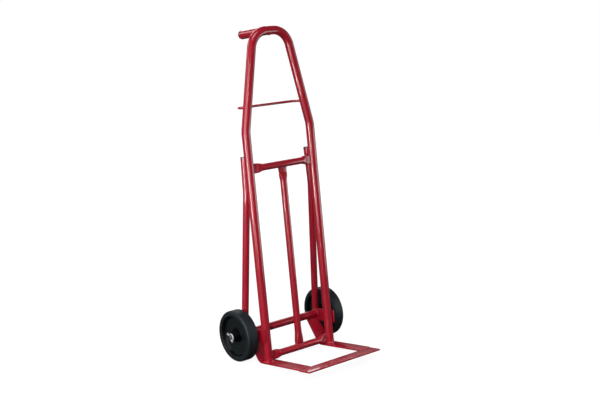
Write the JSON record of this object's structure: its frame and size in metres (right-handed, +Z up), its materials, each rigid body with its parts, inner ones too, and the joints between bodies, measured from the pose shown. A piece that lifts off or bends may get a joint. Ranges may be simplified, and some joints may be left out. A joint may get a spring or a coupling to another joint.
{
  "type": "hand truck",
  "caption": "Welded tube hand truck with an open toe frame of flat bar, solid-tyred wheels, a rear hand loop and a single rear top handle.",
  "frame": {"origin": "on the floor under the middle of the overall box", "axes": "+X towards the right wheel as seen from in front of the toe frame, the toe frame points to -Y, the handle to +Y, +Z up; the truck rests on its wheels and its two skid heels, leaning back 9 degrees"},
  "size_m": [0.528, 0.5978, 1.2703],
  "materials": {
    "red_paint": "glossy",
    "zinc_plate": "satin",
    "black_rubber": "matte",
    "rim_plastic": "satin",
    "bush_plastic": "matte",
    "black_plastic": "satin"
  },
  "bodies": {
    "frame": {"main_frame": "red_paint", "top_handle": "red_paint", "top_handle_cap": "black_plastic", "rear_loop": "red_paint", "mid_rung": "red_paint", "bottom_rung": "red_paint", "centre_tube": "red_paint", "left_strut": "red_paint", "right_strut": "red_paint", "left_strut_cap": "black_plastic", "right_strut_cap": "black_plastic", "axle_tube": "red_paint", "left_axle_bracket": "red_paint", "right_axle_bracket": "red_paint", "left_toe_side_bar": "red_paint", "right_toe_side_bar": "red_paint", "toe_front_bar": "red_paint", "axle": "zinc_plate", "axle_washers": "zinc_plate", "split_pins": "zinc_plate"},
    "left_wheel": {"left_tyre": "black_rubber", "left_wheel_rim": "rim_plastic", "left_wheel_bush": "bush_plastic"},
    "right_wheel": {"right_tyre": "black_rubber", "right_wheel_rim": "rim_plastic", "right_wheel_bush": "bush_plastic"}
  },
  "joints": [
    {"name": "left_wheel_spin", "type": "hinge", "parent": "frame", "child": "left_wheel", "pos_m": [-0.2175, 0.07655, 0.1], "axis": [1, 0, 0], "continuous": true},
    {"name": "right_wheel_spin", "type": "hinge", "parent": "frame", "child": "right_wheel", "pos_m": [0.2175, 0.07655, 0.1], "axis": [1, 0, 0], "continuous": true}
  ]
}
